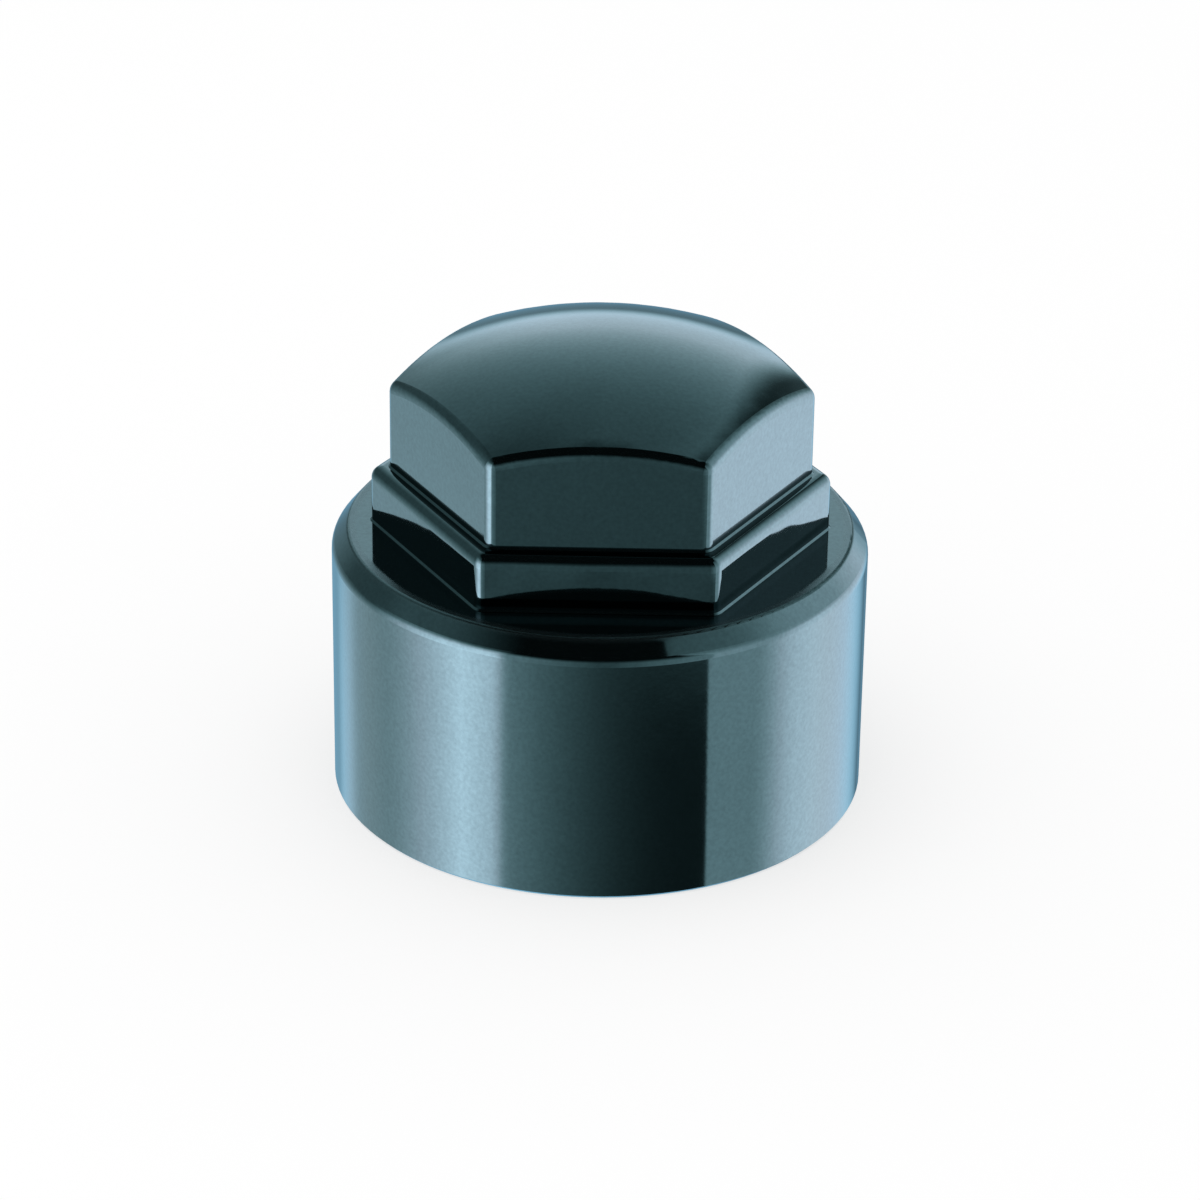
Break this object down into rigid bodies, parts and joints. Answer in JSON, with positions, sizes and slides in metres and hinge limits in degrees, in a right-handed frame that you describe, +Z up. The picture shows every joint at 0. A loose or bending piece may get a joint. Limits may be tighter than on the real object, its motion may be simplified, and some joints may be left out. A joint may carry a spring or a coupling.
{
  "type": "wheel nut cover cap",
  "caption": "Glossy dark cover cap for a wheel bolt: a round collar with a chamfered shoulder and a stepped hexagon with a domed top, hollow inside.",
  "frame": {"origin": "centre of the mouth face, on which the cap stands", "axes": "+Z up through the domed top; both hexagons have a flat towards -Y and a corner towards +X"},
  "size_m": [0.0268, 0.0268, 0.0239],
  "materials": {
    "cap_plastic": "gloss"
  },
  "bodies": {
    "root": {"cover_cap": "cap_plastic"}
  },
  "joints": []
}
